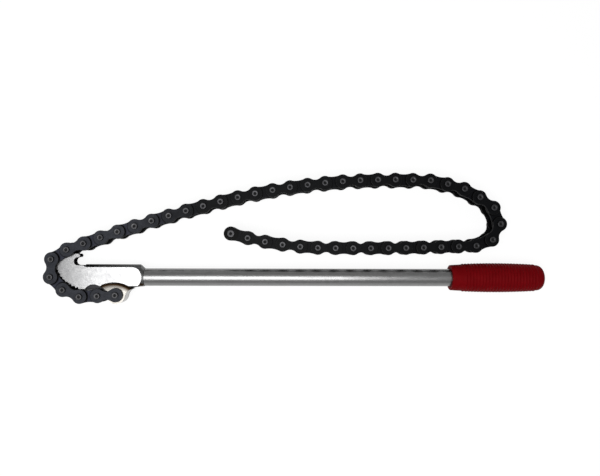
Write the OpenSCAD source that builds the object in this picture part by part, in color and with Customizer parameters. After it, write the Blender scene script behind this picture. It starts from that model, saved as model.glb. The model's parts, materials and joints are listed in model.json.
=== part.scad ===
// Chain wrench, lying flat: a forged toothed jaw on a round bar, a ribbed grip,
// and a riveted bush chain that is pinned to the jaw's lug and ends free.
// X runs along the bar towards the grip, Y across it towards the hook, Z up out of the faces.
// The origin is on the bar's axis, half way along the bare bar.

/* [Chain] */
// Distance from pin to pin
pitch = 12.7; // [12.6:0.02:12.8]
// Clear width between the inner plates
inner_w = 7.85; // [7.6:0.05:8.6]
// Thickness of every link plate
plate_t = 1.5; // [1.2:0.1:1.8]
// Height of a plate at its round ends
plate_h = 10.2; // [9.4:0.1:10.6]
// Height of an outer plate at its waist
outer_waist = 6.1; // [5.2:0.1:7]
// Height of an inner plate at its waist
inner_waist = 8.3; // [7.4:0.1:8.8]
// Diameter of the hinge pins
pin_d = 3.97; // [3.4:0.01:4.2]
// Diameter of a pin's riveted end
rivet_d = 4.5; // [4.4:0.1:5]
// How far a pin stands out of its outer plate
pin_proud = 1.8; // [1:0.1:2.2]
// Diameter of the centre dimple in a pin's end
dimple_d = 1.9; // [1:0.1:2.4]
// Depth of that dimple
dimple_depth = 0.4; // [0.2:0.1:0.6]
// Outer diameter of the bushes
bush_d = 5.6; // [5.2:0.1:5.7]
// Side play between an inner and an outer plate
side_play = 0.15; // [0.1:0.05:0.3]
// Radial clearance of a pin in its bush
run_fit = 0.045; // [0.02:0.005:0.1]
// Radial gap of a pressed pin or bush in its plate
press_gap = 0.02; // [0.01:0.005:0.03]

/* [Head] */
// Thickness of the jaw's milled plate
jaw_t = 7.2; // [6:0.1:7.4]
// Depth of the serrations
tooth_depth = 1.1; // [0.5:0.05:1.2]
// Number of serrations
teeth = 8; // [7:1:12]
// Radius of the serrated nose
nose_r = 20.95; // [20.4:0.05:21.6]
// Radius of the lug around the anchor pin
lug_r = 6.4; // [5.8:0.1:6.8]
// Radius of the blend from the lug to the neck
lug_blend = 6.2; // [4:0.1:8]
// Radius of the raised pad beside the outer link
pad_r = 20; // [18:0.5:24]
// Width of the sloping edge round that pad
pad_slope = 1.4; // [0.6:0.1:2]
// Half height of the forged neck before it is milled flat
neck_half = 6.6; // [6.5:0.1:7.6]
// Edge of the neck on the hook's side
neck_top = 9.2; // [8.9:0.1:9.4]
// Edge of the neck on the lug's side
neck_low = -8.2; // [-8.6:0.1:-7.6]
// Radius of the milled flats' round ends
mill_r = 7.2; // [6.5:0.1:7.4]
// Clearance of a bush in the hook's notch
notch_play = 0.1; // [0.05:0.05:0.3]

/* [Handle] */
// Diameter of the round bar
bar_d = 12.7; // [12:0.1:13]
// Length of bar between the jaw and the grip
bare_len = 222; // [200:0.5:260]
// Length of the grip
grip_len = 68; // [60:0.5:90]
// Largest diameter of the grip, at its belly
grip_d = 21.4; // [19:0.1:24]
// Diameter of the grip at its mouth
grip_mouth_d = 18.4; // [16.6:0.1:19.2]
// Wall at the grip's closed end
grip_end = 3.6; // [2.5:0.1:6]
// Radius of the grip's rounded end
grip_round = 4.6; // [3:0.1:6]
// Length of the smooth collar at the grip's mouth
collar_len = 8.2; // [5:0.1:12]
// Number of ribs round the grip
ribs = 24; // [16:1:30]
// Height of a rib
rib_h = 0.5; // [0.2:0.05:0.8]
// Gap between the bar and the grip's bore
grip_gap = 0.05; // [0.02:0.01:0.1]

/* [Hidden] */
$fn = 64;
// The lay of the chain: heading of the first link, then runs of links as
// [how many links, turn of each from the one before], in degrees
first_heading = 182.5;
lay = [
    [1, 0], [1, -25], [1, -23], [1, -48], [1, -54], [1, -12],
    [9, -0.7], [9, -1.5], [2, -1.1],
    [1, -10], [1, -4], [1, -12.5], [1, -8.5], [1, -32], [1, -48.5], [1, -42.5], [1, -18],
    [8, -0.4], [5, -2.8]
];
turns = [for (run = lay) for (i = [1 : run[0]]) run[1]];
links = len(turns) + 1;
pairs = links / 2;
function total(list, n) = n < 1 ? 0 : list[n - 1] + total(list, n - 1);
headings = [for (k = [0 : links - 1]) first_heading + total(turns, k)];
steps = [for (h = headings) pitch * [cos(h), sin(h)]];

// Levels of the chain's faces above its middle plane
inner_face = inner_w / 2;
inner_out = inner_face + plate_t;
outer_face = inner_out + side_play;
outer_out = outer_face + plate_t;
pin_half = outer_out + pin_proud;
pin_r = pin_d / 2;
plate_r = plate_h / 2;
bush_bore_r = pin_r + run_fit;
end_rivet_d = 5.4;
end_proud = 0.7;
edge_break = 0.35;

// Places along the handle
bar_r = bar_d / 2;
weld_x = -bare_len / 2;
mouth_x = bare_len / 2;
bar_end_x = mouth_x + grip_len - grip_end;
bar_chamfer = 1;

// Places in the jaw, from the weld and from the anchor pin's axis
anchor = [weld_x - 19.35, -12.6];
lug_half = outer_face - 0.08;
nose_centre = [weld_x - 42.15, 13];
nose_from = 196;
nose_to = 256.5;
brow_centre = [weld_x - 48.15, -2.4];
brow_r = 19.2;
underside = -8.5;
beak = [weld_x - 61.55, 8];
beak_r = 2.6;
brow_left = beak[0] - 1.5;
hook_tip = [weld_x - 47.05, 15.5];
hook_r = 1.3;
notch_r = bush_d / 2 + notch_play;
notch = [weld_x - 47.15, 11.4];
scallop = [weld_x - 35.95, -12.3];
scallop_r = 7.2;
web_t = 3.2;
neck_x = weld_x - 42.25;
neck_mid = (neck_top + neck_low) / 2;
neck_wide = (neck_top - neck_low) / 2;
lens_drop = (neck_wide * neck_wide - neck_half * neck_half) / (2 * neck_half);
lens_r = lens_drop + neck_half;
blend_y = neck_low - lug_blend;
blend_x = anchor[0] + sqrt(pow(lug_r + lug_blend, 2) - pow(blend_y - anchor[1], 2));
mill_margin = 1.2;
mill_x = weld_x - mill_r - mill_margin;
shoulder_slope = 0.9;

function two_digits(i) = str(i < 10 ? "0" : "", i);
function outer_name(i) = str("outer_link_", two_digits(i));
function inner_name(i) = str("inner_link_", two_digits(i));
function pin_place(k) = anchor + [total([for (s = steps) s[0]], k), total([for (s = steps) s[1]], k)];

// Turns a shape drawn in XY and raised in Z so that it runs along X
module along_x(from) {
    translate([from, 0, 0]) rotate([90, 0, 90]) children();
}

// A plate's outline between two holes: round ends drawn in to a waist
module plate_outline(waist) {
    half = waist / 2;
    half_pitch = pitch / 2;
    rise = half_pitch * half_pitch + half * half - plate_r * plate_r;
    waist_r = rise / (2 * (plate_r - half));
    share = plate_r / (plate_r + waist_r);
    meet = [half_pitch * (1 - share), share * (half + waist_r)];
    difference() {
        union() {
            circle(r = plate_r);
            translate([pitch, 0]) circle(r = plate_r);
            translate([half_pitch - meet[0], -meet[1]]) square([2 * meet[0], 2 * meet[1]]);
        }
        for (side = [-1, 1])
            translate([half_pitch, side * (half + waist_r)]) circle(r = waist_r);
    }
}

// Two plates, one above and one below the chain's middle plane, with a hole at each end
module plate_pair(waist, level, hole_r) {
    for (z = [level, -level - plate_t])
        translate([0, 0, z]) linear_extrude(plate_t) difference() {
            plate_outline(waist);
            circle(r = hole_r);
            translate([pitch, 0]) circle(r = hole_r);
        }
}

// A riveted pin: straight shank, swollen ends with a broken edge and a dimple
module riveted_pin(half, under_head, head_r) {
    quarter = [
        [pin_r, 0], [pin_r, under_head], [head_r, under_head], [head_r, half - edge_break],
        [head_r - edge_break, half], [dimple_d / 2, half], [0, half - dimple_depth]
    ];
    lower = [for (k = [len(quarter) - 1 : -1 : 1]) [quarter[k][0], -quarter[k][1]]];
    rotate_extrude() polygon(concat(lower, quarter));
}

module bush() {
    difference() {
        cylinder(h = 2 * inner_out, r = bush_d / 2, center = true);
        cylinder(h = 2 * inner_out + 1, r = bush_bore_r, center = true);
    }
}

// Moves a link that is drawn along X to where link k lies
module lay_link(k) {
    place = pin_place(k);
    translate([place[0], place[1], 0]) rotate(headings[k]) children();
}

module outer_link(i) {
    color([0.16, 0.16, 0.17]) lay_link(2 * i - 2) {
        plate_pair(outer_waist, outer_face, pin_r + press_gap);
        for (x = [0, pitch])
            translate([x, 0, 0]) riveted_pin(pin_half, outer_out + press_gap, rivet_d / 2);
    }
}

module inner_link(i) {
    color([0.12, 0.12, 0.13]) lay_link(2 * i - 1) {
        plate_pair(inner_waist, inner_face, bush_d / 2 + press_gap);
        for (x = [0, pitch]) translate([x, 0, 0]) bush();
    }
}

// The rivet in the free end's last bush
module end_rivet() {
    place = pin_place(links);
    color([0.3, 0.3, 0.31]) translate([place[0], place[1], 0])
        riveted_pin(inner_out + end_proud, inner_out + press_gap, end_rivet_d / 2);
}

// The nose's serrated edge, from the beak down to the underside
function serrations() = [
    for (k = [0 : 2 * teeth])
        let (a = nose_from + (nose_to - nose_from) * k / (2 * teeth))
        let (r = nose_r + tooth_depth * (k % 2 - 0.5))
        nose_centre + r * [cos(a), sin(a)]
];

// The jaw's plate as seen from above: serrated nose, beak, hook with its notch, underside
module jaw_outline() {
    difference() {
        union() {
            polygon(concat(
                serrations(),
                [
                    [nose_centre[0] - 4.2, underside], [scallop[0] - 1, underside],
                    [scallop[0] + 4, neck_low + 1.9], [mill_x, neck_low + 1.9], [mill_x, neck_top - 2.2],
                    [neck_x + 2, neck_top - 2.2], [neck_x - 2, neck_top - 0.7],
                    [hook_tip[0], neck_top - 0.7], hook_tip, beak
                ]
            ));
            intersection() {
                translate(brow_centre) circle(r = brow_r);
                polygon([
                    hook_tip, [hook_tip[0], hook_tip[1] + 3], [brow_left, hook_tip[1] + 3],
                    [brow_left, beak[1]], beak
                ]);
            }
            translate(beak) circle(r = beak_r);
            translate(hook_tip) circle(r = hook_r);
        }
        translate(notch) circle(r = notch_r);
        translate(notch - [0, notch_r]) square([12, 2 * notch_r]);
    }
}

// The forged neck: a lens section with a shoulder down to the bar and a milled flat on each face
module neck() {
    length = weld_x - neck_x;
    difference() {
        intersection() {
            along_x(neck_x) linear_extrude(length) intersection_for (side = [-1, 1])
                translate([neck_mid, side * lens_drop]) circle(r = lens_r);
            translate([neck_x, 0, 0]) rotate([0, 90, 0])
                cylinder(h = length, r1 = bar_r + shoulder_slope * length, r2 = bar_r);
            translate([0, 0, -neck_half]) linear_extrude(2 * neck_half) polygon([
                [neck_x, neck_low], [weld_x - 13, neck_low], [weld_x - 2, -bar_r - 0.2], [weld_x, -bar_r - 0.2],
                [weld_x, neck_top], [neck_x, neck_top]
            ]);
        }
        for (z = [jaw_t / 2, -jaw_t / 2 - neck_half]) translate([0, 0, z]) linear_extrude(neck_half) {
            translate([neck_x - 1, -2 * neck_wide]) square([mill_x - neck_x + 1, 4 * neck_wide]);
            translate([mill_x, 0]) circle(r = mill_r);
        }
    }
}

// The lug round the anchor pin, thick enough to fill the outer link, sloping up from the neck's flat
module lug() {
    pad_centre = anchor - [2, pad_r - 7.6];
    intersection() {
        linear_extrude(2 * lug_half, center = true) difference() {
            union() {
                translate(anchor) circle(r = lug_r);
                polygon([
                    anchor + [-lug_r, 0], anchor + [-lug_r, 3], [scallop[0] + 5.6, neck_low + 2],
                    [scallop[0] + 5.6, neck_low + 5], [blend_x, neck_low + 5], [blend_x, neck_low],
                    [blend_x, blend_y], anchor
                ]);
            }
            translate([blend_x, blend_y]) circle(r = lug_blend);
        }
        translate([pad_centre[0], pad_centre[1], 0]) rotate_extrude() polygon([
            [0, -lug_half], [pad_r, -lug_half], [pad_r + pad_slope, -jaw_t / 2],
            [pad_r + pad_slope, jaw_t / 2], [pad_r, lug_half], [0, lug_half]
        ]);
    }
}

// The thin web left in the scallop beside the lug
module web() {
    translate([scallop[0] - 6.7, underside - 1.1, -web_t / 2]) cube([15.9, 5.3, web_t]);
}

module jaw() {
    color([0.75, 0.75, 0.76]) difference() {
        union() {
            difference() {
                union() {
                    linear_extrude(jaw_t, center = true) jaw_outline();
                    neck();
                }
                translate([scallop[0], scallop[1], 0]) cylinder(h = 2 * neck_half, r = scallop_r, center = true);
            }
            web();
            lug();
        }
        translate([anchor[0], anchor[1], 0])
            cylinder(h = 2 * lug_half + 1, r = bush_bore_r, center = true);
    }
}

module bar() {
    length = bar_end_x - weld_x;
    color([0.6, 0.6, 0.61]) translate([weld_x, 0, 0]) rotate([0, 90, 0]) union() {
        cylinder(h = length - bar_chamfer, r = bar_r);
        translate([0, 0, length - bar_chamfer])
            cylinder(h = bar_chamfer, r1 = bar_r, r2 = bar_r - bar_chamfer);
    }
}

// Radius of the grip's barrel, without ribs, at a distance from its mouth
belly_at = 0.47;
function barrel_r(x) =
    grip_d / 2 - rib_h - (grip_d - 2 * rib_h - grip_mouth_d) / 2 * pow((x / grip_len - belly_at) / belly_at, 2);

module grip() {
    ribbed = grip_len - collar_len - grip_round - 1;
    step = ribbed / ribs;
    rib_points = [
        for (k = [0 : ribs - 1], part = [[0, 0], [0.3, 1], [0.7, 1]])
            let (x = collar_len + step * (k + part[0]))
            [barrel_r(x) + rib_h * part[1], x]
    ];
    end_x = collar_len + ribbed;
    end_r = barrel_r(end_x);
    cap = [
        for (a = [0 : 15 : 90])
            [end_r - grip_round * (1 - cos(a)), grip_len - grip_round * (1 - sin(a))]
    ];
    bore_r = bar_r + grip_gap;
    mouth = [[bore_r, 0], [barrel_r(0) - 0.6, 0], [barrel_r(0), 0.6]];
    bore_end = grip_len - grip_end + grip_gap;
    color([0.5, 0.05, 0.07]) translate([mouth_x, 0, 0]) rotate([0, 90, 0]) rotate_extrude() polygon(concat(
        mouth, rib_points, [[end_r, end_x]], cap, [[0, grip_len], [0, bore_end], [bore_r, bore_end]]
    ));
}

jaw();
bar();
grip();
end_rivet();
for (i = [1 : pairs]) {
    outer_link(i);
    inner_link(i);
}
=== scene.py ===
import json
import math
import bmesh
import bpy
from mathutils import Matrix, Vector


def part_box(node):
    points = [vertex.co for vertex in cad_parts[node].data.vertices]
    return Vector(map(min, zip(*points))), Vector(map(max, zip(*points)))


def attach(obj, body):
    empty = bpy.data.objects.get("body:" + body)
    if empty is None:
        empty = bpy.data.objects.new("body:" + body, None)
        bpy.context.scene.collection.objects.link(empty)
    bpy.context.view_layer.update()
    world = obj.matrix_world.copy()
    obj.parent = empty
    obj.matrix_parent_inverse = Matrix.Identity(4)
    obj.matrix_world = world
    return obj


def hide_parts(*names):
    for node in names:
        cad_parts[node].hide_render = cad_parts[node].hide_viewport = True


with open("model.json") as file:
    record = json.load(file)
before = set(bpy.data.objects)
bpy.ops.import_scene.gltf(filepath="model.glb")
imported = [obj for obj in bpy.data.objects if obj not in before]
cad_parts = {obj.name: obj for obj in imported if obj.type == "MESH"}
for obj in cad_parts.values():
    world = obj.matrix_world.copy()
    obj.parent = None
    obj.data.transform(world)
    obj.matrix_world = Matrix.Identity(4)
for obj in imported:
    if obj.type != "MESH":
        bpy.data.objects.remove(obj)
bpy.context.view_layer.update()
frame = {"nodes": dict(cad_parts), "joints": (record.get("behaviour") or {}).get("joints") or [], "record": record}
nodes = frame["nodes"]
hinges = frame["joints"]
print("frame loaded:", len(nodes), "nodes,", len(hinges), "hinges")


def mm(*values):  # millimetres to Blender's metres
    scaled = [value * 0.001 for value in values]
    return scaled[0] if len(scaled) == 1 else scaled


# the camera looks straight down on the faces
cameraSet = {
    "place": (-0.00816, 0.02478, 0.4012),
    "turn": (0.55, -1.32, 0.1908),  # degrees
    "lens": 33.0,
    "sensor": 36.0,
    "near": 0.01,
}
cameraData = bpy.data.cameras.new("benchCamera")
cameraData.lens = cameraSet["lens"]
cameraData.sensor_width = cameraSet["sensor"]
cameraData.clip_start = cameraSet["near"]
camera = bpy.data.objects.new("benchCamera", cameraData)
camera.location = cameraSet["place"]
camera.rotation_euler = [math.radians(angle) for angle in cameraSet["turn"]]
bpy.context.scene.collection.objects.link(camera)
bpy.context.scene.camera = camera
bpy.context.scene.view_settings.view_transform = "Standard"
print("camera set")


# node helpers
def addNode(tree, kind, **inputs):
    made = tree.nodes.new(kind)
    for name, value in inputs.items():
        made.inputs[name.replace("_", " ")].default_value = value
    return made


def mixColours(tree, factor, first, second):
    mixer = tree.nodes.new("ShaderNodeMix")
    mixer.data_type = "RGBA"
    for socket, value in ((0, factor), (6, first), (7, second)):
        if hasattr(value, "is_output"):
            tree.links.new(value, mixer.inputs[socket])
        else:
            mixer.inputs[socket].default_value = value
    return mixer.outputs[2]


def spread(tree, value, low, high, outLow=0.0, outHigh=1.0):
    ranged = addNode(tree, "ShaderNodeMapRange", From_Min=low, From_Max=high, To_Min=outLow, To_Max=outHigh)
    tree.links.new(value, ranged.inputs["Value"])
    return ranged.outputs["Result"]


def combine(tree, kind, first, second):
    sums = tree.nodes.new("ShaderNodeMath")
    sums.operation = kind
    for socket, value in ((0, first), (1, second)):
        if hasattr(value, "is_output"):
            tree.links.new(value, sums.inputs[socket])
        else:
            sums.inputs[socket].default_value = value
    return sums.outputs[0]


def newGroup(name, inputs, outputs):
    group = bpy.data.node_groups.new(name, "ShaderNodeTree")
    for label, kind, value in inputs:
        socket = group.interface.new_socket(label, in_out="INPUT", socket_type=kind)
        if value is not None:
            socket.default_value = value
    for label, kind in outputs:
        group.interface.new_socket(label, in_out="OUTPUT", socket_type=kind)
    return group, group.nodes.new("NodeGroupInput"), group.nodes.new("NodeGroupOutput")


# blotches of oil, scale and handling, in two sizes
mottleSet = {"finer": 4.3, "wideShare": 0.6, "smallShare": 0.4, "middle": 0.5}


def makeMottle():
    group, entry, leave = newGroup(
        "mottle",
        [
            ("Vector", "NodeSocketVector", None),
            ("Scale", "NodeSocketFloat", 300.0),
            ("Contrast", "NodeSocketFloat", 0.2),
        ],
        [("Mask", "NodeSocketFloat"), ("Height", "NodeSocketFloat")],
    )
    wide = addNode(group, "ShaderNodeTexNoise", Detail=3.0, Roughness=0.6)
    small = addNode(group, "ShaderNodeTexNoise", Detail=5.0, Roughness=0.65)
    group.links.new(entry.outputs["Vector"], wide.inputs["Vector"])
    group.links.new(entry.outputs["Vector"], small.inputs["Vector"])
    group.links.new(entry.outputs["Scale"], wide.inputs["Scale"])
    finer = combine(group, "MULTIPLY", entry.outputs["Scale"], mottleSet["finer"])
    group.links.new(finer, small.inputs["Scale"])
    both = combine(group, "MULTIPLY_ADD", small.outputs["Fac"], mottleSet["smallShare"])
    wideShare = combine(group, "MULTIPLY", wide.outputs["Fac"], mottleSet["wideShare"])
    group.links.new(wideShare, both.node.inputs[2])
    steep = addNode(group, "ShaderNodeMapRange")
    group.links.new(both, steep.inputs["Value"])
    for kind, end in (("SUBTRACT", "From Min"), ("ADD", "From Max")):
        limit = combine(group, kind, mottleSet["middle"], entry.outputs["Contrast"])
        group.links.new(limit, steep.inputs[end])
    group.links.new(steep.outputs["Result"], leave.inputs["Mask"])
    group.links.new(both, leave.inputs["Height"])
    return group


# fine lines drawn out along one direction
def makeDrawnLines():
    group, entry, leave = newGroup(
        "drawnLines",
        [
            ("Vector", "NodeSocketVector", None),
            ("Scale", "NodeSocketFloat", 900.0),
            ("Stretch", "NodeSocketVector", (0.04, 1.0, 1.0)),
        ],
        [("Height", "NodeSocketFloat")],
    )
    pulled = group.nodes.new("ShaderNodeVectorMath")
    pulled.operation = "MULTIPLY"
    lines = addNode(group, "ShaderNodeTexNoise", Detail=4.0, Roughness=0.6)
    group.links.new(entry.outputs["Vector"], pulled.inputs[0])
    group.links.new(entry.outputs["Stretch"], pulled.inputs[1])
    group.links.new(pulled.outputs[0], lines.inputs["Vector"])
    group.links.new(entry.outputs["Scale"], lines.inputs["Scale"])
    group.links.new(lines.outputs["Fac"], leave.inputs["Height"])
    return group


mottle = makeMottle()
drawnLines = makeDrawnLines()


class Finish:  # one material: its tree, its shader and the piece's own coordinates
    def __init__(self, name):
        self.material = bpy.data.materials.new(name)
        self.material.use_nodes = True
        self.tree = self.material.node_tree
        self.shader = self.tree.nodes["Principled BSDF"]
        self.place = self.tree.nodes.new("ShaderNodeTexCoord").outputs["Object"]

    def plain(self, **values):
        for name, value in values.items():
            self.shader.inputs[name.replace("_", " ")].default_value = value

    def group(self, which, **values):
        made = self.tree.nodes.new("ShaderNodeGroup")
        made.node_tree = which
        self.tree.links.new(self.place, made.inputs["Vector"])
        for name, value in values.items():
            made.inputs[name].default_value = value
        return made.outputs

    def axis(self, which):
        split = self.tree.nodes.new("ShaderNodeSeparateXYZ")
        self.tree.links.new(self.place, split.inputs[0])
        return split.outputs[which]

    def feed(self, value, name):
        self.tree.links.new(value, self.shader.inputs[name])

    def bump(self, *layers):  # (height, strength, distance), the first lies deepest
        under = None
        for height, strength, distance in layers:
            made = addNode(self.tree, "ShaderNodeBump", Strength=strength, Distance=distance)
            self.tree.links.new(height, made.inputs["Height"])
            if under:
                self.tree.links.new(under, made.inputs["Normal"])
            under = made.outputs["Normal"]
        self.feed(under, "Normal")


# the jaw: bright milled faces, dark forged rim, a scallop web darkened by oil and painted shade, an oil-brown
# slope with painted shade at the lug
jawFinish = {
    "face": (0.36, 0.36, 0.36, 1), "faceDull": (0.27, 0.27, 0.275, 1),
    "nose": (0.25, 0.25, 0.25, 1), "noseDull": (0.15, 0.15, 0.155, 1),
    "rim": (0.10, 0.10, 0.10, 1), "rimDark": (0.005, 0.005, 0.0055, 1), "forged": (0.045, 0.045, 0.047, 1),
    "lugWall": (0.42, 0.415, 0.40, 1), "oil": (0.026, 0.014, 0.006, 1), "cream": (0.28, 0.268, 0.248, 1),
    "padReach": 20.0, "padLeft": 2.0, "padAbove": 7.6, "stain": (2.9, 0.3),
    "faceLevel": (3.48, 3.57), "aboveFace": (3.63, 3.7), "webLevel": (1.9, 1.7), "padLevel": 5.5,
    "wornX": (-172, -146), "rimX": (-150, -112), "lugSideY": (-4.0, -4.6), "lugWallY": (-9.0, -9.6),
    "rough": (0.34, 0.26), "grainRough": 0.06,
}


def makeJawSteel():
    steel = Finish("jawSteel")
    tree = steel.tree
    steel.plain(Specular_IOR_Level=0.0)
    blotch = steel.group(mottle, Scale=420.0, Contrast=0.16)
    grain = steel.group(mottle, Scale=1900.0, Contrast=0.25)
    level = combine(tree, "ABSOLUTE", steel.axis("Z"), 0.0)
    upToFace = spread(tree, level, *mm(*jawFinish["faceLevel"]))
    aboveFace = spread(tree, level, *mm(*jawFinish["aboveFace"]))
    onFace = combine(tree, "SUBTRACT", upToFace, aboveFace)
    bright = mixColours(tree, blotch["Mask"], jawFinish["faceDull"], jawFinish["face"])
    worn = mixColours(tree, blotch["Mask"], jawFinish["noseDull"], jawFinish["nose"])
    face = mixColours(tree, spread(tree, steel.axis("X"), *mm(*jawFinish["wornX"])), worn, bright)
    along = spread(tree, steel.axis("X"), *mm(*jawFinish["rimX"]))
    rim = mixColours(tree, along, jawFinish["rimDark"], jawFinish["rim"])
    # the sunk web beside the lug: darkened by oil and by painted shade
    sunk = spread(tree, level, *mm(*jawFinish["webLevel"]))
    besideLug = spread(tree, steel.axis("Y"), *mm(*jawFinish["lugSideY"]))
    rim = mixColours(tree, combine(tree, "MULTIPLY", sunk, besideLug), rim, jawFinish["forged"])
    lugWall = spread(tree, steel.axis("Y"), *mm(*jawFinish["lugWallY"]))
    rim = mixColours(tree, lugWall, rim, jawFinish["lugWall"])
    bare = combine(tree, "MAXIMUM", combine(tree, "MAXIMUM", onFace, along), lugWall)
    steel.feed(bare, "Metallic")
    onLug = combine(tree, "MULTIPLY", aboveFace, besideLug)
    anchor = Vector(hinges[0]["pos_m"])
    reach = jawFinish["padReach"]
    padX = anchor.x - mm(jawFinish["padLeft"])
    padY = anchor.y - mm(reach - jawFinish["padAbove"])
    fromPad = addNode(tree, "ShaderNodeVectorMath")
    fromPad.operation = "DISTANCE"
    fromPad.inputs[1].default_value = (padX, padY, mm(jawFinish["padLevel"]))
    tree.links.new(steel.place, fromPad.inputs[0])
    # a dark oil-brown band with painted shade along the lug's arc edge, cream inside it
    oilShadeFrom, oilShadeTo = (mm(reach - inside) for inside in jawFinish["stain"])
    stain = spread(tree, fromPad.outputs["Value"], oilShadeFrom, oilShadeTo)
    lugTop = mixColours(tree, stain, jawFinish["cream"], jawFinish["oil"])
    steel.feed(mixColours(tree, onLug, mixColours(tree, onFace, rim, face), lugTop), "Base Color")
    dull = combine(tree, "MULTIPLY_ADD", grain["Mask"], jawFinish["grainRough"])
    tree.links.new(spread(tree, blotch["Mask"], 0.0, 1.0, *jawFinish["rough"]), dull.node.inputs[2])
    steel.feed(dull, "Roughness")
    steel.bump((blotch["Height"], 0.25, mm(0.12)), (grain["Height"], 0.2, mm(0.03)))
    return steel.material


# the bar: drawn steel, fine lines along it and a slightly wavy skin
barFinish = {
    "steel": (0.245, 0.245, 0.245, 1), "shade": (0.205, 0.205, 0.205, 1),
    "lines": (0.3, 0.7), "rough": (0.24, 0.36),
}


def makeBarSteel():
    steel = Finish("barSteel")
    tree = steel.tree
    steel.plain(Metallic=1.0)
    waves = steel.group(mottle, Scale=260.0, Contrast=0.2)
    lines = steel.group(drawnLines, Scale=1400.0)
    steel.feed(mixColours(tree, waves["Mask"], barFinish["shade"], barFinish["steel"]), "Base Color")
    steel.feed(spread(tree, lines["Height"], *barFinish["lines"], *barFinish["rough"]), "Roughness")
    steel.bump((waves["Height"], 0.35, mm(0.12)), (lines["Height"], 0.15, mm(0.02)))
    return steel.material


# black oxide on the chain: oiled, a little blue; lighter near the jaw from dust and a painted sheen; broken edges
# lighter from rubbing and a painted highlight; pin ends are rubbed lighter; plate walls, pin shanks and dimples,
# and the inner plates beside the outer plates' ends carry painted shade
chainFinish = {
    "plate": {"dark": (0.0015, 0.0016, 0.0020, 1), "worn": (0.0048, 0.0051, 0.0060, 1),
              "specular": 0.05, "dust": 11.0},
    "innerPlate": {"dark": (0.0016, 0.0017, 0.0024, 1), "worn": (0.0050, 0.0053, 0.0074, 1),
                   "specular": 0.05, "dust": 10.5,
                   # painted shadow of the outer plates' ends on the inner plates
                   "grease": {"pitch": 12.7, "full": 5.3, "none": 6.3, "left": 0.05}},
    # broken edges: lighter, from rubbing and a painted highlight
    "edge": {"dark": (0.0040, 0.0040, 0.0044, 1), "worn": (0.0150, 0.0150, 0.0156, 1),
             "specular": 0.16, "dust": 0.8},
    # plate walls near-black: painted shade
    "wall": {"dark": (0.0008, 0.0008, 0.0010, 1), "worn": (0.0020, 0.0020, 0.0022, 1),
             "specular": 0.02, "dust": 1.0},
    "bush": {"dark": (0.0025, 0.0025, 0.0028, 1), "worn": (0.0065, 0.0065, 0.0070, 1),
             "specular": 0.12, "dust": 1.2},
    "pinEnd": {"dark": (0.030, 0.030, 0.032, 1), "worn": (0.085, 0.085, 0.088, 1),
               "specular": 0.5, "dust": 1.1, "metal": 1.0},
    # pin shanks and dimples dark: painted shade
    "pinSide": {"dark": (0.0030, 0.0030, 0.0033, 1), "worn": (0.0080, 0.0080, 0.0085, 1),
                "specular": 0.08, "dust": 2.0},
}
oxideSet = {"dustX": (-70.0, -122.0), "rough": (0.52, 0.38)}  # no dust or painted sheen at the first place, all at the second


def outerPlateShadow(tree, grease):  # painted shadow of the outer plates' ends on the inner plates, by the distance from the nearer pin
    place = tree.nodes.new("ShaderNodeAttribute")
    place.attribute_name = "linkPlace"
    away = []
    for x in (0, grease["pitch"]):
        gap = tree.nodes.new("ShaderNodeVectorMath")
        gap.operation = "DISTANCE"
        gap.inputs[1].default_value = (mm(x), 0, 0)
        tree.links.new(place.outputs["Vector"], gap.inputs[0])
        away.append(gap.outputs["Value"])
    nearer = combine(tree, "MINIMUM", *away)
    return spread(tree, nearer, mm(grease["full"]), mm(grease["none"]), grease["left"], 1.0)


def makeOxide(name, look):
    finish = Finish(name)
    tree = finish.tree
    finish.plain(Metallic=look.get("metal", 0.0), Specular_IOR_Level=look["specular"])
    patches = finish.group(mottle, Scale=260.0, Contrast=0.22)
    grain = finish.group(mottle, Scale=1500.0, Contrast=0.2)
    blend = combine(tree, "MULTIPLY", patches["Mask"], grain["Mask"])
    dustAndSheenLift = tree.nodes.new("ShaderNodeVectorMath")
    dustAndSheenLift.operation = "SCALE"
    tree.links.new(mixColours(tree, blend, look["dark"], look["worn"]), dustAndSheenLift.inputs[0])
    # lighter towards the jaw: dust and a painted sheen
    near = spread(tree, finish.axis("X"), *mm(*oxideSet["dustX"]), 1.0, look["dust"])
    if "grease" in look:
        near = combine(tree, "MULTIPLY", near, outerPlateShadow(tree, look["grease"]))
    tree.links.new(near, dustAndSheenLift.inputs["Scale"])
    finish.feed(dustAndSheenLift.outputs["Vector"], "Base Color")
    finish.feed(spread(tree, patches["Mask"], 0.0, 1.0, *oxideSet["rough"]), "Roughness")
    finish.bump((patches["Height"], 0.15, mm(0.08)), (grain["Height"], 0.25, mm(0.03)))
    return finish.material


# dipped vinyl: deep red, a faint skin of pores
gripFinish = {"red": (0.135, 0.0016, 0.0032, 1), "deep": (0.102, 0.001, 0.002, 1), "rough": (0.58, 0.46)}


def makeVinyl():
    vinyl = Finish("redVinyl")
    tree = vinyl.tree
    vinyl.plain(Metallic=0.0, Specular_IOR_Level=0.02)
    patches = vinyl.group(mottle, Scale=180.0, Contrast=0.2)
    pores = vinyl.group(mottle, Scale=2200.0, Contrast=0.2)
    vinyl.feed(mixColours(tree, patches["Mask"], gripFinish["deep"], gripFinish["red"]), "Base Color")
    vinyl.feed(spread(tree, pores["Mask"], 0.0, 1.0, *gripFinish["rough"]), "Roughness")
    vinyl.bump((patches["Height"], 0.1, mm(0.1)), (pores["Height"], 0.2, mm(0.02)))
    return vinyl.material


jawSteel = makeJawSteel()
barSteel = makeBarSteel()
oxide = {kind: makeOxide(kind + "Oxide", look) for kind, look in chainFinish.items()}
redVinyl = makeVinyl()
print("finishes made")


# mesh helpers
weldWithin = 1e-7


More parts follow.
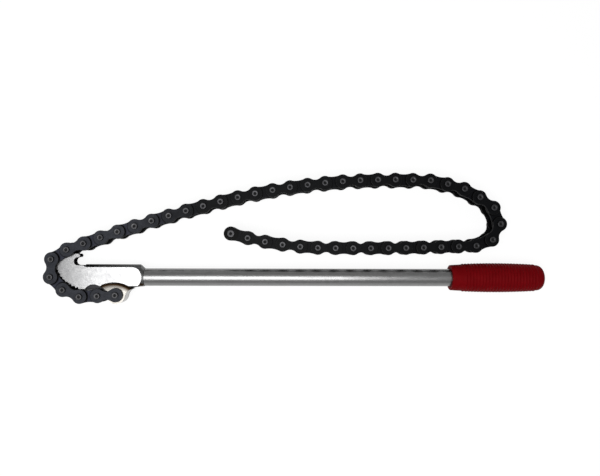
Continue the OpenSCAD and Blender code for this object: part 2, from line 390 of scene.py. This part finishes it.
def finishMesh(bm, name, *materials, sharpAt=40.0):
    bmesh.ops.remove_doubles(bm, verts=bm.verts[:], dist=weldWithin)
    bmesh.ops.recalc_face_normals(bm, faces=bm.faces[:])
    mesh = bpy.data.meshes.new(name)
    bm.to_mesh(mesh)
    bm.free()
    for material in materials:
        mesh.materials.append(material)
    mesh.polygons.foreach_set("use_smooth", [True] * len(mesh.polygons))
    mesh.set_sharp_from_angle(angle=math.radians(sharpAt))
    return mesh


def showPiece(name, mesh, body, replaced, weighted=True):
    piece = bpy.data.objects.new(name, mesh)
    bpy.context.scene.collection.objects.link(piece)
    if weighted:
        flatten = piece.modifiers.new("evenFaces", "WEIGHTED_NORMAL")
        flatten.keep_sharp = True
    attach(piece, body)
    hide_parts(*replaced)


def lathe(profile, steps, axis):  # (radius, height) points turned round an axis through the origin
    bm = bmesh.new()
    across = Vector((0, 1, 0)) if axis == "X" else Vector((1, 0, 0))
    upward = Vector((1, 0, 0)) if axis == "X" else Vector((0, 0, 1))
    corners = [bm.verts.new(across * radius + upward * height) for radius, height in profile]
    for before, after in zip(corners, corners[1:]):
        bm.edges.new((before, after))
    bmesh.ops.spin(
        bm, geom=bm.verts[:] + bm.edges[:], cent=(0, 0, 0), axis=upward, angle=math.tau,
        steps=steps, use_merge=True,
    )
    bmesh.ops.remove_doubles(bm, verts=bm.verts[:], dist=weldWithin)
    return bm


def roundCorner(centre, radius, start, end, steps):  # points on an arc, in (radius, height)
    turns = [math.radians(start + (end - start) * k / steps) for k in range(steps + 1)]
    return [(centre[0] + radius * math.cos(t), centre[1] + radius * math.sin(t)) for t in turns]


# the jaw keeps the CAD's shape, with broken edges
jawSet = {"merge": 0.004, "flat": 0.8, "edge": 0.28, "segments": 3, "sharp": 32.0}


def makeJaw():
    bm = bmesh.new()
    bm.from_mesh(nodes["jaw"].data)
    bmesh.ops.remove_doubles(bm, verts=bm.verts[:], dist=mm(jawSet["merge"]))
    flat = math.radians(jawSet["flat"])
    bmesh.ops.dissolve_limit(bm, angle_limit=flat, verts=bm.verts[:], edges=bm.edges[:])
    corners = [e for e in bm.edges if e.is_manifold and e.calc_face_angle() > math.radians(jawSet["sharp"])]
    bmesh.ops.bevel(
        bm, geom=corners, offset=mm(jawSet["edge"]), offset_type="OFFSET", segments=jawSet["segments"],
        profile=0.5, affect="EDGES", clamp_overlap=True, material=-1,
    )
    showPiece("forgedJaw", finishMesh(bm, "forgedJaw", jawSteel), "handle", ["jaw"])


makeJaw()
print("jaw made")

# the bar
barSet = {"edge": 0.3, "hiddenEdge": 1.0, "steps": 96, "rings": 40}


def makeBar():
    low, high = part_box("bar")
    radius, edge, hidden = high.z, mm(barSet["edge"]), mm(barSet["hiddenEdge"])
    rings, straight = barSet["rings"], high.x - low.x - 2 * edge - hidden
    profile = [(0, low.x), (radius - edge, low.x)]
    profile += [(radius, low.x + edge + straight * k / rings) for k in range(rings + 1)]
    profile += [(radius - hidden, high.x), (0, high.x)]
    bm = lathe(profile, barSet["steps"], "X")
    showPiece("roundBar", finishMesh(bm, "roundBar", barSteel), "handle", ["bar"])


makeBar()
print("bar made")

# the grip: a bellied sleeve with rings of ribs
gripSet = {
    "belly": 21.4, "mouth": 18.4, "bellyAt": 0.47, "collar": 8.2, "round": 4.6, "ribs": 24, "rib": 0.5,
    "bore": 12.8, "depth": 12.0, "lip": 0.5, "lastRib": 1.0,
    "steps": 96, "ribSteps": 8, "collarSteps": 5, "boreSteps": 4, "lipSteps": 5, "endSteps": 12,
}


def makeGrip():
    low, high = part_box("grip")
    start, length = low.x, high.x - low.x
    rise = mm(gripSet["rib"])

    def barrel(x):
        share = (x / length - gripSet["bellyAt"]) / gripSet["bellyAt"]
        belly = mm(gripSet["belly"]) / 2 - rise
        return belly - (belly - mm(gripSet["mouth"]) / 2) * share * share

    bore, collar, rounding = mm(gripSet["bore"]) / 2, mm(gripSet["collar"]), mm(gripSet["round"])
    ribbed = length - collar - rounding - mm(gripSet["lastRib"])
    lip = mm(gripSet["lip"])
    profile = [(0, mm(gripSet["depth"])), (bore, mm(gripSet["depth"])), (bore, lip)]
    profile += roundCorner((bore + lip, lip), lip, 180, 270, gripSet["boreSteps"])[1:]
    profile += roundCorner((barrel(0) - lip, lip), lip, 270, 360, gripSet["lipSteps"])
    smooth = [collar * k / gripSet["collarSteps"] for k in range(1, gripSet["collarSteps"])]
    profile += [(barrel(x), x) for x in smooth]
    count = gripSet["ribs"] * gripSet["ribSteps"]
    for k in range(count + 1):
        x = collar + ribbed * k / count
        wave = math.sin(math.pi * k / gripSet["ribSteps"]) ** 2
        profile.append((barrel(x) + rise * wave, x))
    end = barrel(collar + ribbed)
    profile += roundCorner((end - rounding, length - rounding), rounding, 0, 90, gripSet["endSteps"])
    profile.append((0, length))
    bm = lathe([(radius, start + x) for radius, x in profile], gripSet["steps"], "X")
    showPiece("ribbedGrip", finishMesh(bm, "ribbedGrip", redVinyl), "handle", ["grip"])


makeGrip()
print("grip made")

# the chain: plates, riveted pins and bushes, link by link
chainSet = {
    "pitch": 12.7, "plateEnd": 5.1, "outerWaist": 6.1, "innerWaist": 8.3, "thick": 1.5,
    "innerFace": 3.925, "outerFace": 5.575,
    "edge": 0.2, "edgeSegments": 3, "sharp": 60.0, "endSteps": 30, "waistSteps": 8, "holeSteps": 32,
    "weld": 0.001, "flatAbove": 0.98, "edgeAbove": 0.4, "sideBelow": 0.3,
    "pin": 3.97, "pinHalf": 8.875, "rivet": 4.5, "rivetEdge": 0.4, "rivetSteps": 5, "pinSteps": 32,
    "dimple": 1.9, "dimpleDepth": 0.4, "dimpleEdge": (0.15, 0.08), "dimpleBowl": (0.55, 0.8),
    "bush": 5.6, "bushBore": 4.06, "bushEdge": 0.25, "endRivet": 5.4, "endProud": 0.7, "press": 0.02,
}
pitch = mm(chainSet["pitch"])


def layLinks():  # (node, body, first pin, second pin); a link's box is centred between its pins
    links = []
    for hinge in hinges:
        start = Vector(hinge["pos_m"])
        for node in frame["record"]["behaviour"]["bodies"][hinge["child"]]:
            if "link" not in node:
                continue
            low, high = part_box(node)
            aim = (low + high) / 2 - start
            stop = start + Vector((aim.x, aim.y, 0)).normalized() * pitch
            links.append((node, hinge["child"], start, stop))
            start = stop
    return links


def drawPlate(waist, hole, face):
    bm = bmesh.new()
    end, half, middle = mm(chainSet["plateEnd"]), mm(waist) / 2, pitch / 2
    hollow = (middle * middle + half * half - end * end) / (2 * (end - half))
    away = half + hollow
    lean = math.atan2(away, middle)
    tip = bm.verts.new((end * math.cos(lean), end * math.sin(lean), 0))
    sweep, draw = math.tau - 2 * lean, -(math.pi - 2 * lean)
    arcs = [
        ((0, 0, 0), sweep, chainSet["endSteps"]), ((middle, -away, 0), draw, chainSet["waistSteps"]),
        ((pitch, 0, 0), sweep, chainSet["endSteps"]), ((middle, away, 0), draw, chainSet["waistSteps"]),
    ]
    last = [tip]
    for centre, angle, steps in arcs:
        made = bmesh.ops.spin(bm, geom=last, cent=centre, axis=(0, 0, 1), angle=angle, steps=steps)
        last = [v for v in made["geom_last"] if isinstance(v, bmesh.types.BMVert)]
    bmesh.ops.remove_doubles(bm, verts=bm.verts[:], dist=mm(chainSet["weld"]))
    for x in (0, pitch):
        bmesh.ops.create_circle(
            bm, segments=chainSet["holeSteps"], radius=mm(hole) / 2, matrix=Matrix.Translation((x, 0, 0)))
    bmesh.ops.triangle_fill(bm, use_beauty=True, edges=bm.edges[:])
    bmesh.ops.recalc_face_normals(bm, faces=bm.faces[:])
    raised = bmesh.ops.extrude_face_region(bm, geom=bm.faces[:])
    lifted = [v for v in raised["geom"] if isinstance(v, bmesh.types.BMVert)]
    bmesh.ops.translate(bm, verts=lifted, vec=(0, 0, mm(chainSet["thick"])))
    bmesh.ops.recalc_face_normals(bm, faces=bm.faces[:])
    rims = [e for e in bm.edges if e.is_manifold and e.calc_face_angle() > math.radians(chainSet["sharp"])]
    bmesh.ops.bevel(
        bm, geom=rims, offset=mm(chainSet["edge"]), offset_type="OFFSET", segments=chainSet["edgeSegments"],
        profile=0.5, affect="EDGES", clamp_overlap=True, material=-1,
    )
    bmesh.ops.translate(bm, verts=bm.verts[:], vec=(0, 0, mm(face)))
    return bm


def markPlace(bm):  # keeps each point's place on its link, for the painted shadow
    place = bm.verts.layers.float_vector.new("linkPlace")
    for vert in bm.verts:
        vert[place] = (vert.co.x, vert.co.y, 0)


def bothSides(bm):  # a copy under the chain's middle plane
    copied = bmesh.ops.duplicate(bm, geom=bm.verts[:] + bm.edges[:] + bm.faces[:])
    twin = [v for v in copied["geom"] if isinstance(v, bmesh.types.BMVert)]
    bmesh.ops.scale(bm, vec=(1, 1, -1), verts=twin)
    bmesh.ops.recalc_face_normals(bm, faces=bm.faces[:])
    return bm


def drawPin(half, head, under):
    shank, edge = mm(chainSet["pin"]) / 2, mm(chainSet["rivetEdge"])
    dimple, deep = mm(chainSet["dimple"]) / 2, mm(chainSet["dimpleDepth"])
    top = [(shank, 0), (shank, under), (head, under)]
    top += roundCorner((head - edge, half - edge), edge, 0, 90, chainSet["rivetSteps"])
    wide, drop = mm(*chainSet["dimpleEdge"])
    inward, downward = chainSet["dimpleBowl"]
    top += [
        (dimple + wide, half), (dimple, half - drop),
        (dimple * inward, half - deep * downward), (0, half - deep),
    ]
    bottom = [(radius, -height) for radius, height in reversed(top[1:])]
    return lathe(bottom + top, chainSet["pinSteps"], "Z")


def drawBush():
    outer, bore = mm(chainSet["bush"]) / 2, mm(chainSet["bushBore"]) / 2
    half, edge = mm(chainSet["innerFace"] + chainSet["thick"]), mm(chainSet["bushEdge"])
    ring = [
        (bore + edge, half), (outer - edge, half), (outer, half - edge),
        (outer, edge - half), (outer - edge, -half), (bore + edge, -half),
        (bore, edge - half), (bore, half - edge), (bore + edge, half),
    ]
    return lathe(ring, chainSet["pinSteps"], "Z")


def twice(bm):  # the same again one pitch on
    copied = bmesh.ops.duplicate(bm, geom=bm.verts[:] + bm.edges[:] + bm.faces[:])
    moved = [v for v in copied["geom"] if isinstance(v, bmesh.types.BMVert)]
    bmesh.ops.translate(bm, verts=moved, vec=(pitch, 0, 0))
    return bm


def markFaces(bm, zone):  # gives each face the material that its zone names
    bmesh.ops.recalc_face_normals(bm, faces=bm.faces[:])
    for face in bm.faces:
        face.material_index = zone(face)
    return bm


def makeChain():
    press = chainSet["press"]
    outOfPlate = mm(chainSet["outerFace"] + chainSet["thick"] + press)
    dimple = mm(chainSet["dimple"]) / 2

    def plateZone(face):  # flat, broken edge or wall
        upright = abs(face.normal.z)
        return 0 if upright > chainSet["flatAbove"] else 1 if upright > chainSet["edgeAbove"] else 2

    def pinZone(face):  # riveted end, or shank and dimple, which carry painted shade
        middle = face.calc_center_median()
        upright = abs(face.normal.z)
        return int(upright < chainSet["sideBelow"] or math.hypot(middle.x, middle.y) < dimple)

    def plates(name, waist, hole, level, flat):
        bm = drawPlate(waist, hole + 2 * press, level)
        if "grease" in chainFinish[flat]:
            markPlace(bm)
        markFaces(bothSides(bm), plateZone)
        return finishMesh(bm, name, oxide[flat], oxide["edge"], oxide["wall"])

    def pin(half, head, under):
        return markFaces(drawPin(half, head, under), pinZone)

    def pins(name, bm):
        return finishMesh(bm, name, oxide["pinEnd"], oxide["pinSide"])

    riveted = twice(pin(mm(chainSet["pinHalf"]), mm(chainSet["rivet"]) / 2, outOfPlate))
    pattern = {
        "outerPlates": plates(
            "outerPlates", chainSet["outerWaist"], chainSet["pin"], chainSet["outerFace"], "plate"),
        "innerPlates": plates(
            "innerPlates", chainSet["innerWaist"], chainSet["bush"], chainSet["innerFace"], "innerPlate"),
        "rivetedPins": pins("rivetedPins", riveted),
        "bushes": finishMesh(twice(drawBush()), "bushes", oxide["bush"]),
    }
    links = layLinks()
    for node, body, start, stop in links:
        heading = math.atan2(stop.y - start.y, stop.x - start.x)
        lay = Matrix.Translation(start) @ Matrix.Rotation(heading, 4, "Z")
        side = node.split("_")[0]
        kinds = ("outerPlates", "rivetedPins") if side == "outer" else ("innerPlates", "bushes")
        for kind in kinds:
            mesh = pattern[kind].copy()
            mesh.transform(lay)
            weighted = kind.endswith("Plates")
            showPiece(kind + node[-2:], mesh, body, [node], weighted=weighted)
    endHead = mm(chainSet["innerFace"] + chainSet["thick"])
    endHalf, endRadius = endHead + mm(chainSet["endProud"]), mm(chainSet["endRivet"]) / 2
    endPin = pins("endRivet", pin(endHalf, endRadius, endHead + mm(press)))
    endPin.transform(Matrix.Translation(links[-1][3]))
    showPiece("endRivet", endPin, links[-1][1], ["end_rivet"], weighted=False)
    return len(links)


print("chain made:", makeChain(), "links")

# pale floor with a low wall far round it, and one softbox overhead
stageSet = {
    "floor": -10.8, "radius": 6.0, "wall": 1.6, "steps": 96, "own": 0.885, "lit": 0.125, "bounce": 0.8,
}
lightSet = {
    "world": 0.5,
    "softbox": {"place": (-0.115, -0.09, 0.6), "size": (0.47, 0.42), "power": 3.6},
}


def makeFloor():
    bm = bmesh.new()
    level = Matrix.Translation((0, 0, mm(stageSet["floor"])))
    bmesh.ops.create_circle(
        bm, cap_ends=True, segments=stageSet["steps"], radius=stageSet["radius"], matrix=level)
    raised = bmesh.ops.extrude_edge_only(bm, edges=bm.edges[:])
    rim = [v for v in raised["geom"] if isinstance(v, bmesh.types.BMVert)]
    bmesh.ops.translate(bm, verts=rim, vec=(0, 0, stageSet["wall"]))
    mesh = bpy.data.meshes.new("benchFloor")
    bm.to_mesh(mesh)
    bm.free()
    floor = bpy.data.objects.new("benchFloor", mesh)
    bpy.context.scene.collection.objects.link(floor)
    material = bpy.data.materials.new("paleFloor")
    material.use_nodes = True
    tree = material.node_tree
    tree.nodes.remove(tree.nodes["Principled BSDF"])
    path = tree.nodes.new("ShaderNodeLightPath")
    seen = combine(tree, "MAXIMUM", path.outputs["Is Camera Ray"], path.outputs["Is Glossy Ray"])
    seen = combine(tree, "MAXIMUM", seen, path.outputs["Is Transmission Ray"])
    bounce = addNode(tree, "ShaderNodeBsdfDiffuse", Color=(stageSet["bounce"],) * 3 + (1,))
    lit = addNode(tree, "ShaderNodeBsdfDiffuse", Color=(stageSet["lit"],) * 3 + (1,))
    own = addNode(tree, "ShaderNodeEmission", Color=(1, 1, 1, 1), Strength=stageSet["own"])
    shown = tree.nodes.new("ShaderNodeAddShader")
    tree.links.new(lit.outputs[0], shown.inputs[0])
    tree.links.new(own.outputs[0], shown.inputs[1])
    choose = tree.nodes.new("ShaderNodeMixShader")
    tree.links.new(seen, choose.inputs[0])
    tree.links.new(bounce.outputs[0], choose.inputs[1])
    tree.links.new(shown.outputs[0], choose.inputs[2])
    tree.links.new(choose.outputs[0], tree.nodes["Material Output"].inputs["Surface"])
    mesh.materials.append(material)


def makeLights():
    world = bpy.data.worlds.new("paleRoom")
    world.use_nodes = True
    tree = world.node_tree
    tree.nodes["Background"].inputs["Color"].default_value = (1, 1, 1, 1)
    tree.nodes["Background"].inputs["Strength"].default_value = lightSet["world"]
    bpy.context.scene.world = world
    softbox = lightSet["softbox"]
    lamp = bpy.data.lights.new("softbox", "AREA")
    lamp.shape = "RECTANGLE"
    lamp.size, lamp.size_y = softbox["size"]
    lamp.energy = softbox["power"]
    holder = bpy.data.objects.new("softbox", lamp)
    holder.location = softbox["place"]
    bpy.context.scene.collection.objects.link(holder)


makeFloor()
makeLights()
print("stage and light set")
